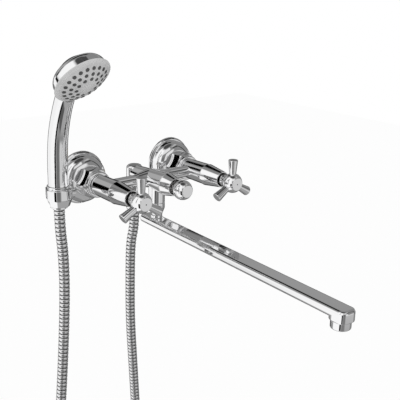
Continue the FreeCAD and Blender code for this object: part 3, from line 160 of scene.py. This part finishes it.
def rib_tree():
    """A tube along a line whose radius rises and falls once in each pressed ring."""
    tree = bpy.data.node_groups.new("ribbed_hose", "GeometryNodeTree")
    sockets = tree.interface
    sockets.new_socket("Geometry", in_out="INPUT", socket_type="NodeSocketGeometry")
    for size in ("Pitch", "Crest radius", "Groove radius"):
        sockets.new_socket(size, in_out="INPUT", socket_type="NodeSocketFloat")
    sockets.new_socket("Material", in_out="INPUT", socket_type="NodeSocketMaterial")
    sockets.new_socket("Geometry", in_out="OUTPUT", socket_type="NodeSocketGeometry")
    new = tree.nodes.new
    start, end = new("NodeGroupInput"), new("NodeGroupOutput")
    to_curve = new("GeometryNodeMeshToCurve")
    step = new("ShaderNodeMath")
    step.operation = "DIVIDE"
    step.inputs[1].default_value = STEPS_PER_RIB
    resample = new("GeometryNodeResampleCurve")
    resample.mode = "LENGTH"
    along = new("GeometryNodeSplineParameter")
    rings = new("ShaderNodeMath")
    rings.operation = "DIVIDE"
    share = new("ShaderNodeMath")
    share.operation = "FRACT"
    swell = new("ShaderNodeFloatCurve")
    points = swell.mapping.curves[0].points
    points[0].location, points[-1].location = (0, 0), (1, 0)
    for spot in RIB_PROFILE:
        points.new(*spot)
    swell.mapping.update()
    keep_height = new("GeometryNodeStoreNamedAttribute")
    keep_height.inputs["Name"].default_value = RIB_HEIGHT
    radius = new("ShaderNodeMapRange")
    circle = new("GeometryNodeCurvePrimitiveCircle")
    circle.inputs["Resolution"].default_value = HOSE_SIDES
    circle.inputs["Radius"].default_value = 1.0
    tube = new("GeometryNodeCurveToMesh")
    tube.inputs["Fill Caps"].default_value = True
    smooth = new("GeometryNodeSetShadeSmooth")
    realize = new("GeometryNodeRealizeInstances")
    paint = new("GeometryNodeSetMaterial")
    join(tree, (start.outputs["Geometry"], to_curve.inputs[0]),
         (start.outputs["Pitch"], step.inputs[0]),
         (to_curve.outputs[0], resample.inputs["Curve"]),
         (step.outputs[0], resample.inputs["Length"]),
         (along.outputs["Length"], rings.inputs[0]),
         (start.outputs["Pitch"], rings.inputs[1]),
         (rings.outputs[0], share.inputs[0]),
         (share.outputs[0], swell.inputs["Value"]),
         (swell.outputs[0], radius.inputs["Value"]),
         (start.outputs["Groove radius"], radius.inputs["To Min"]),
         (start.outputs["Crest radius"], radius.inputs["To Max"]),
         (resample.outputs[0], keep_height.inputs["Geometry"]),
         (swell.outputs[0], keep_height.inputs["Value"]),
         (keep_height.outputs["Geometry"], tube.inputs["Curve"]),
         (circle.outputs["Curve"], tube.inputs["Profile Curve"]),
         (radius.outputs["Result"], tube.inputs["Scale"]),
         (tube.outputs["Mesh"], smooth.inputs["Geometry"]),
         (smooth.outputs["Geometry"], realize.inputs["Geometry"]),
         (realize.outputs["Geometry"], paint.inputs["Geometry"]),
         (start.outputs["Material"], paint.inputs["Material"]),
         (paint.outputs["Geometry"], end.inputs["Geometry"]))
    return tree


def grown(name, mesh, tree, values):
    """Runs a Geometry Nodes tree on a mesh and gives the result as a plain object."""
    seed = bpy.data.objects.new(f"{name}_seed", mesh)
    scene.collection.objects.link(seed)
    modifier = seed.modifiers.new("grow", "NODES")
    modifier.node_group = tree
    for item in tree.interface.items_tree:
        if item.in_out == "INPUT" and item.name in values:
            modifier[item.identifier] = values[item.name]
    bpy.context.view_layer.update()
    graph = bpy.context.evaluated_depsgraph_get()
    result = bpy.data.meshes.new_from_object(seed.evaluated_get(graph), depsgraph=graph)
    bpy.data.objects.remove(seed)
    piece = bpy.data.objects.new(name, result)
    scene.collection.objects.link(piece)
    return piece


hose_metal = plated("hose_metal", HOSE_CHROME, polish=(0.14, 0.24), cloud_size=0.02)
# painted shade: the hose's colour turns dark grey where the rings dip into grooves
paint_groove_shade(hose_metal, GROOVE_PAINTED_SHADE, HOSE_CHROME)
hose_path = hose_line()
hose = grown("ribbed_hose", hose_path, rib_tree(), {
    "Pitch": RIB_PITCH, "Crest radius": HOSE_RADIUS, "Groove radius": HOSE_GROOVE_RADIUS,
    "Material": hose_metal})
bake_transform(hose)
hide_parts("shower_hose")

# Wall fittings: at each inlet a turned brass union screwed into the wall, a pressed flange that
# covers the hole, and a hexagonal nut that draws the body to the union against a rubber washer.
# Flanges and nuts are chrome plated.
BRASS, CHROME = (0.75, 0.57, 0.27), (0.93, 0.93, 0.935)
RUBBER_BLACK, RUBBER_BLOOM = (0.018, 0.018, 0.018), (0.035, 0.035, 0.035)
DRIFT_SCALE, DRIFT_DETAIL = 60.0, 2.0
DRIFT_LOW, DRIFT_HIGH = 0.35, 0.65
GRAIN_STRENGTH = 0.4


def moulded(name, dark, light, polish, grain_size, depth, specular=0.5):
    """Plastic, rubber or ceramic with a fine grain, whose colour drifts between two values."""
    material = bpy.data.materials.new(name)
    material.use_nodes = True
    tree = material.node_tree
    shader = tree.nodes["Principled BSDF"]
    shader.inputs["Specular IOR Level"].default_value = specular
    place = tree.nodes.new("ShaderNodeTexCoord")
    drift = tree.nodes.new("ShaderNodeTexNoise")
    drift.inputs["Scale"].default_value = DRIFT_SCALE
    drift.inputs["Detail"].default_value = DRIFT_DETAIL
    grain = tree.nodes.new("ShaderNodeTexNoise")
    grain.inputs["Scale"].default_value = 1 / grain_size
    tint = tree.nodes.new("ShaderNodeValToRGB")
    low, high = tint.color_ramp.elements
    low.position, high.position = DRIFT_LOW, DRIFT_HIGH
    low.color, high.color = (*dark, 1), (*light, 1)
    spread = tree.nodes.new("ShaderNodeMapRange")
    spread.inputs["To Min"].default_value, spread.inputs["To Max"].default_value = polish
    bump = tree.nodes.new("ShaderNodeBump")
    bump.inputs["Strength"].default_value = GRAIN_STRENGTH
    bump.inputs["Distance"].default_value = depth
    join(tree, (place.outputs["Object"], drift.inputs["Vector"]),
         (place.outputs["Object"], grain.inputs["Vector"]),
         (drift.outputs["Fac"], tint.inputs["Fac"]),
         (tint.outputs["Color"], shader.inputs["Base Color"]),
         (grain.outputs["Fac"], spread.inputs["Value"]),
         (spread.outputs["Result"], shader.inputs["Roughness"]),
         (grain.outputs["Fac"], bump.inputs["Height"]),
         (bump.outputs["Normal"], shader.inputs["Normal"]))
    return material


def wear(material, *names):
    """Gives a finish to CAD nodes through their own material slots."""
    for name in names:
        for slot in nodes[name].material_slots:
            slot.material = material


brass = plated("turned_brass", BRASS, polish=(0.18, 0.34), cloud_size=0.004, ripple=0.00001)
chrome = plated("chrome", CHROME, polish=(0.02, 0.055), cloud_size=0.05, ripple=0.00002)
rubber = moulded("seal_rubber", RUBBER_BLACK, RUBBER_BLOOM, polish=(0.5, 0.7), grain_size=0.0005,
                 depth=0.00005, specular=0.3)
wear(brass, "left_wall_union", "right_wall_union")
wear(chrome, "left_wall_flange", "right_wall_flange", "left_union_nut", "right_union_nut")
wear(rubber, "inlet_washers")

# Body: one hollow brass casting with its two arms, valve seats and outlet, polished by hand before
# it is chromed, so its mirror is a little uneven. A turned ring sits behind its right arm.
wear(chrome, "mixer_body", "right_collar_ring")

# Holder of the hand shower: a chromed casting whose ring sits behind the body's left arm, and a
# slotted cup that a screw fixes to its end.
wear(chrome, "holder_arm", "holder_cup", "holder_screw")

# Cartridges of the two valves and the diverter: nickelled brass headworks screwed into the body,
# each with two ground ceramic discs on a rubber seal and a turned brass spindle in a rubber ring.
# Chromed shrouds cover them, and the headworks' nickel is painted darker than the metal: painted
# shade on their fronts between shroud and handle.
CARTRIDGES = ("left", "right", "diverter")
# the nickel colour is darkened with painted shade for the gap between shroud and handle
NICKEL_AND_PAINTED_SHADE = (0.42, 0.41, 0.40)
CERAMIC_SHADE, CERAMIC_WHITE = (0.80, 0.79, 0.76), (0.88, 0.87, 0.84)
nickel_and_painted_shade = plated("nickelled_brass_and_painted_shade", NICKEL_AND_PAINTED_SHADE, polish=(0.14, 0.24), cloud_size=0.004, ripple=0.00001)
ceramic = moulded("ground_ceramic", CERAMIC_SHADE, CERAMIC_WHITE, polish=(0.12, 0.22),
                  grain_size=0.0006, depth=0.00001)
for valve in CARTRIDGES:
    wear(nickel_and_painted_shade, f"{valve}_headwork")
    wear(ceramic, f"{valve}_fixed_disc", f"{valve}_turning_disc")
    wear(brass, f"{valve}_spindle")
    wear(rubber, f"{valve}_spindle_ring")
    wear(chrome, f"{valve}_shroud")
wear(rubber, "seat_seals")

# Handles: chromed balls with three arms, pushed on the splined spindles, each held by a stainless
# screw under a round cap. The diverter has a plain knob in place of the ball.
STEEL = (0.56, 0.56, 0.57)
steel = plated("stainless_steel", STEEL, polish=(0.24, 0.40), cloud_size=0.003, ripple=0.00001)
wear(chrome, "left_handle", "right_handle", "diverter_knob")
wear(steel, "left_handle_screw", "right_handle_screw", "diverter_knob_screw")
wear(chrome, "left_index_cap", "right_index_cap", "diverter_cap")

# Index plugs: a small black rubber plug pressed into the dimple of each handle's cap, painted
# shade for the dark hole at its centre. The diverter's cap has none.
PLUG_RADIUS, PLUG_ROUND, PLUG_SIDES = 0.0008, 0.00015, 24
PLUG_BACK, PLUG_FRONT = -0.15045, -0.15120
VALVES_AT = {"left": -0.075, "right": 0.075}


def round_plug(name, at_x):
    """A short turned plug along Y with a rounded front rim."""
    stations = [(PLUG_BACK, PLUG_RADIUS), (PLUG_FRONT + PLUG_ROUND, PLUG_RADIUS),
                (PLUG_FRONT, PLUG_RADIUS - PLUG_ROUND)]
    points, faces = [], []
    for y, radius in stations:
        for index in range(PLUG_SIDES):
            turn = 2 * math.pi * index / PLUG_SIDES
            points.append((at_x + radius * math.cos(turn), y, AXIS_RISE + radius * math.sin(turn)))
    last = len(stations) - 1
    for row in range(last):
        for index in range(PLUG_SIDES):
            after = (index + 1) % PLUG_SIDES
            low, high = row * PLUG_SIDES, (row + 1) * PLUG_SIDES
            faces.append((low + index, high + index, high + after, low + after))
    faces.append(tuple(range(PLUG_SIDES)))
    faces.append(tuple(last * PLUG_SIDES + index for index in reversed(range(PLUG_SIDES))))
    mesh = bpy.data.meshes.new(name)
    mesh.from_pydata(points, [], faces)
    mesh.validate()
    plug = bpy.data.objects.new(name, mesh)
    scene.collection.objects.link(plug)
    return plug


for side, at_x in VALVES_AT.items():
    plug = round_plug(f"{side}_index_hole_shade", at_x)
    # the plug's black is painted shade for the hole in the cap
    plug.data.materials.append(rubber)
    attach(plug, f"{side}_valve")

# Swivel spout: a long flat chromed tube on a collar, held under the body by a chromed nut with a
# slip ring over it and a stainless ring inside, and sealed by two rubber rings.
wear(chrome, "spout", "spout_nut", "spout_slip_ring")
wear(steel, "spout_retainer")
wear(rubber, "spout_seals")

# Aerator: a chromed housing screwed to the spout's end against a rubber washer, with an insert
# moulded in white plastic that breaks up the stream.
INSERT_SHADE, INSERT_WHITE = (0.74, 0.74, 0.72), (0.82, 0.82, 0.80)
insert_plastic = moulded("insert_plastic", INSERT_SHADE, INSERT_WHITE, polish=(0.35, 0.5),
                         grain_size=0.0006, depth=0.00003)
wear(chrome, "aerator_housing")
wear(insert_plastic, "aerator_insert")
wear(rubber, "aerator_washer")

# Ends of the hose: a hexagonal nut under the body and a conical one that hangs in the holder's
# cup, both turned and chromed, each on a turned brass ferrule with a rubber washer.
wear(chrome, "hose_nut", "hose_cone")
wear(brass, "hose_ferrule", "hose_cone_ferrule")
wear(rubber, "hose_nut_washer", "hose_cone_washer")

# Hand shower: a chrome plated shell of moulded plastic, handle and head in one, whose mirror is
# softer than the castings' and waves slightly over the thick handle. A turned brass nipple in
# the handle takes the hose's conical nut.
SHELL_CHROME = (0.92, 0.92, 0.925)
shell_chrome = plated("shell_chrome", SHELL_CHROME, polish=(0.03, 0.075), cloud_size=0.07,
                      ripple=0.00003)
wear(shell_chrome, "handset_shell")
wear(brass, "handset_nipple")

# Face of the hand shower: a satin grey plate with a fine moulded grain in a paler, smoother trim
# ring, and a dark rubber mat behind it whose soft nozzles a thumb can rub clean.
FACE_GREY, FACE_LIGHT = (0.49, 0.49, 0.49), (0.56, 0.56, 0.56)
RIM_GREY, RIM_LIGHT = (0.53, 0.53, 0.53), (0.60, 0.60, 0.60)
NOZZLE_DARK, NOZZLE_WORN = (0.06, 0.06, 0.06), (0.09, 0.09, 0.09)
face_grey = moulded("face_grey", FACE_GREY, FACE_LIGHT, polish=(0.30, 0.42), grain_size=0.0005,
                    depth=0.00003)
face_rim = moulded("face_rim", RIM_GREY, RIM_LIGHT, polish=(0.20, 0.30), grain_size=0.0005,
                   depth=0.00001)
nozzle_rubber = moulded("nozzle_rubber", NOZZLE_DARK, NOZZLE_WORN, polish=(0.5, 0.65),
                        grain_size=0.0004, depth=0.00004, specular=0.3)
wear(face_grey, "face_plate")
wear(face_rim, "face_trim")
wear(nozzle_rubber, "nozzle_mat")

# Studio: a dim room round the mixer, with white soft boxes, most of them at its left, and black
# flags. The boxes give the chrome its white sides, and the flags its dark lines and outlines. Matt
# pieces are lit by plain white light from all sides.
ROOM_GREY = 0.24
# each panel's azimuth from -Y towards +X, elevation, half width, half height and faded edge, all
# in degrees, and its level, where 1 is white
PANELS = [
    (-95.0, -2.0, 52.0, 74.0, 12.0, 1.0),
    (-142.0, -11.0, 36.0, 17.0, 8.0, 0.95),
    (-158.0, 24.0, 26.0, 18.0, 8.0, 0.40),
    (-20.0, 48.0, 36.0, 17.0, 7.0, 0.80),
    (26.0, -14.0, 38.0, 16.0, 7.0, 0.62),
    (10.0, 11.0, 22.0, 18.0, 7.0, 0.80),
    (25.0, -54.0, 75.0, 26.0, 8.0, 0.37),
    (110.0, -6.0, 18.0, 10.0, 5.0, 0.85),
    (139.0, 18.0, 34.0, 12.0, 8.0, 0.33),
    (166.0, -16.0, 24.0, 14.0, 6.0, 0.26),
    (55.0, 54.0, 30.0, 8.0, 5.0, 0.45),
    (44.0, 40.0, 20.0, 8.0, 4.0, 0.05),
    (-36.0, -40.0, 28.0, 10.0, 5.0, 0.10),
    (-30.0, -4.0, 17.0, 26.0, 7.0, 0.16),
    (-58.0, -20.0, 10.0, 24.0, 3.0, 0.0),
    (-94.0, 30.0, 4.0, 26.0, 2.0, 0.0),
    (-147.0, 14.0, 6.0, 20.0, 2.5, 0.0),
    (72.0, -33.0, 36.0, 3.5, 2.0, 0.04),
    (60.0, 6.0, 5.0, 30.0, 2.0, 0.04),
    (162.0, 46.0, 26.0, 11.0, 3.0, 0.0),
    (0.0, 82.0, 181.0, 14.0, 4.0, 0.06),
]
# a round flag on the far side of the mixer darkens its outlines: its direction, the angles from
# it in degrees at which the flag begins to fade and ends, and its grey
FLAG_TOWARDS = (0.6197, 0.7249, -0.3009)
FLAG_FADES, FLAG_ENDS, FLAG_GREY = 22.0, 44.0, 0.02
FLOOR_HEIGHT, FLOOR_SIDE = -0.78, 8.0
FLOOR_WHITE, FLOOR_ROUGHNESS = (0.9, 0.9, 0.9), 0.9
FLOOR_GLOW = 0.85  # the share of plain white that the camera sees on it, over its shadow


def studio_world():
    """White to the camera and to matt surfaces, and the room with its panels to the chrome."""
    world = bpy.data.worlds.new("studio")
    scene.world = world
    world.use_nodes = True
    tree = world.node_tree
    tree.nodes.clear()
    new = tree.nodes.new

    def math_node(operation, *inputs):
        """The result of one sum on numbers and outputs."""
        node = new("ShaderNodeMath")
        node.operation = operation
        for socket, value in zip(node.inputs, inputs):
            if isinstance(value, (int, float)):
                socket.default_value = value
            else:
                join(tree, (value, socket))
        return node.outputs[0]

    def cover(distance, near, far):
        """1 up to a distance and 0 beyond another, smoothly between."""
        node = new("ShaderNodeMapRange")
        node.interpolation_type = "SMOOTHSTEP"
        node.inputs["From Min"].default_value, node.inputs["From Max"].default_value = near, far
        node.inputs["To Min"].default_value, node.inputs["To Max"].default_value = 1, 0
        join(tree, (distance, node.inputs["Value"]))
        return node.outputs["Result"]

    def painted(room, level, share):
        """The room's grey with a panel of another grey over it."""
        gap = math_node("SUBTRACT", level, room)
        return math_node("MULTIPLY_ADD", gap, share, room)

    place, split = new("ShaderNodeTexCoord"), new("ShaderNodeSeparateXYZ")
    join(tree, (place.outputs["Generated"], split.inputs[0]))
    x, y, z = split.outputs
    azimuth = math_node("DEGREES", math_node("ARCTAN2", x, math_node("MULTIPLY", y, -1.0)))
    elevation = math_node("DEGREES", math_node("ARCSINE", z))
    room = ROOM_GREY
    for centre, height, half_width, half_height, edge, level in PANELS:
        turn = math_node("WRAP", math_node("SUBTRACT", azimuth, centre), 180.0, -180.0)
        aside = math_node("ABSOLUTE", turn)
        above = math_node("ABSOLUTE", math_node("SUBTRACT", elevation, height))
        across = cover(aside, half_width - edge, half_width)
        upright = cover(above, half_height - edge, half_height)
        room = painted(room, level, math_node("MULTIPLY", across, upright))
    toward = new("ShaderNodeVectorMath")
    toward.operation = "DOT_PRODUCT"
    toward.inputs[1].default_value = FLAG_TOWARDS
    join(tree, (place.outputs["Generated"], toward.inputs[0]))
    off_axis = math_node("DEGREES", math_node("ARCCOSINE", toward.outputs["Value"]))
    room = painted(room, FLAG_GREY, cover(off_axis, FLAG_FADES, FLAG_ENDS))
    shiny, plain = new("ShaderNodeBackground"), new("ShaderNodeBackground")
    plain.inputs["Color"].default_value = (1, 1, 1, 1)
    paths, mix, out = (new("ShaderNodeLightPath"), new("ShaderNodeMixShader"),
                       new("ShaderNodeOutputWorld"))
    join(tree, (room, shiny.inputs["Color"]), (paths.outputs["Is Glossy Ray"], mix.inputs["Fac"]),
         (plain.outputs[0], mix.inputs[1]), (shiny.outputs[0], mix.inputs[2]),
         (mix.outputs[0], out.inputs["Surface"]))


def pale_floor():
    """A floor that looks white to the camera, takes the mixer's faint shadow and isn't mirrored."""
    half = FLOOR_SIDE / 2
    mesh = bpy.data.meshes.new("floor")
    corners = [(-half, -half), (half, -half), (half, half), (-half, half)]
    mesh.from_pydata([(cx, cy, FLOOR_HEIGHT) for cx, cy in corners], [], [(0, 1, 2, 3)])
    floor = bpy.data.objects.new("floor", mesh)
    scene.collection.objects.link(floor)
    material = bpy.data.materials.new("floor_white")
    material.use_nodes = True
    tree = material.node_tree
    new = tree.nodes.new
    shader = tree.nodes["Principled BSDF"]
    shader.inputs["Base Color"].default_value = (*FLOOR_WHITE, 1)
    shader.inputs["Roughness"].default_value = FLOOR_ROUGHNESS
    glow, lit = new("ShaderNodeEmission"), new("ShaderNodeMixShader")
    open_air, seen = new("ShaderNodeBsdfTransparent"), new("ShaderNodeMixShader")
    paths, share = new("ShaderNodeLightPath"), new("ShaderNodeMath")
    share.operation = "MULTIPLY"
    share.inputs[1].default_value = FLOOR_GLOW
    join(tree, (paths.outputs["Is Camera Ray"], share.inputs[0]),
         (share.outputs[0], lit.inputs["Fac"]),
         (shader.outputs[0], lit.inputs[1]), (glow.outputs[0], lit.inputs[2]),
         (paths.outputs["Is Glossy Ray"], seen.inputs["Fac"]),
         (lit.outputs[0], seen.inputs[1]), (open_air.outputs[0], seen.inputs[2]),
         (seen.outputs[0], tree.nodes["Material Output"].inputs["Surface"]))
    mesh.materials.append(material)


studio_world()
pale_floor()
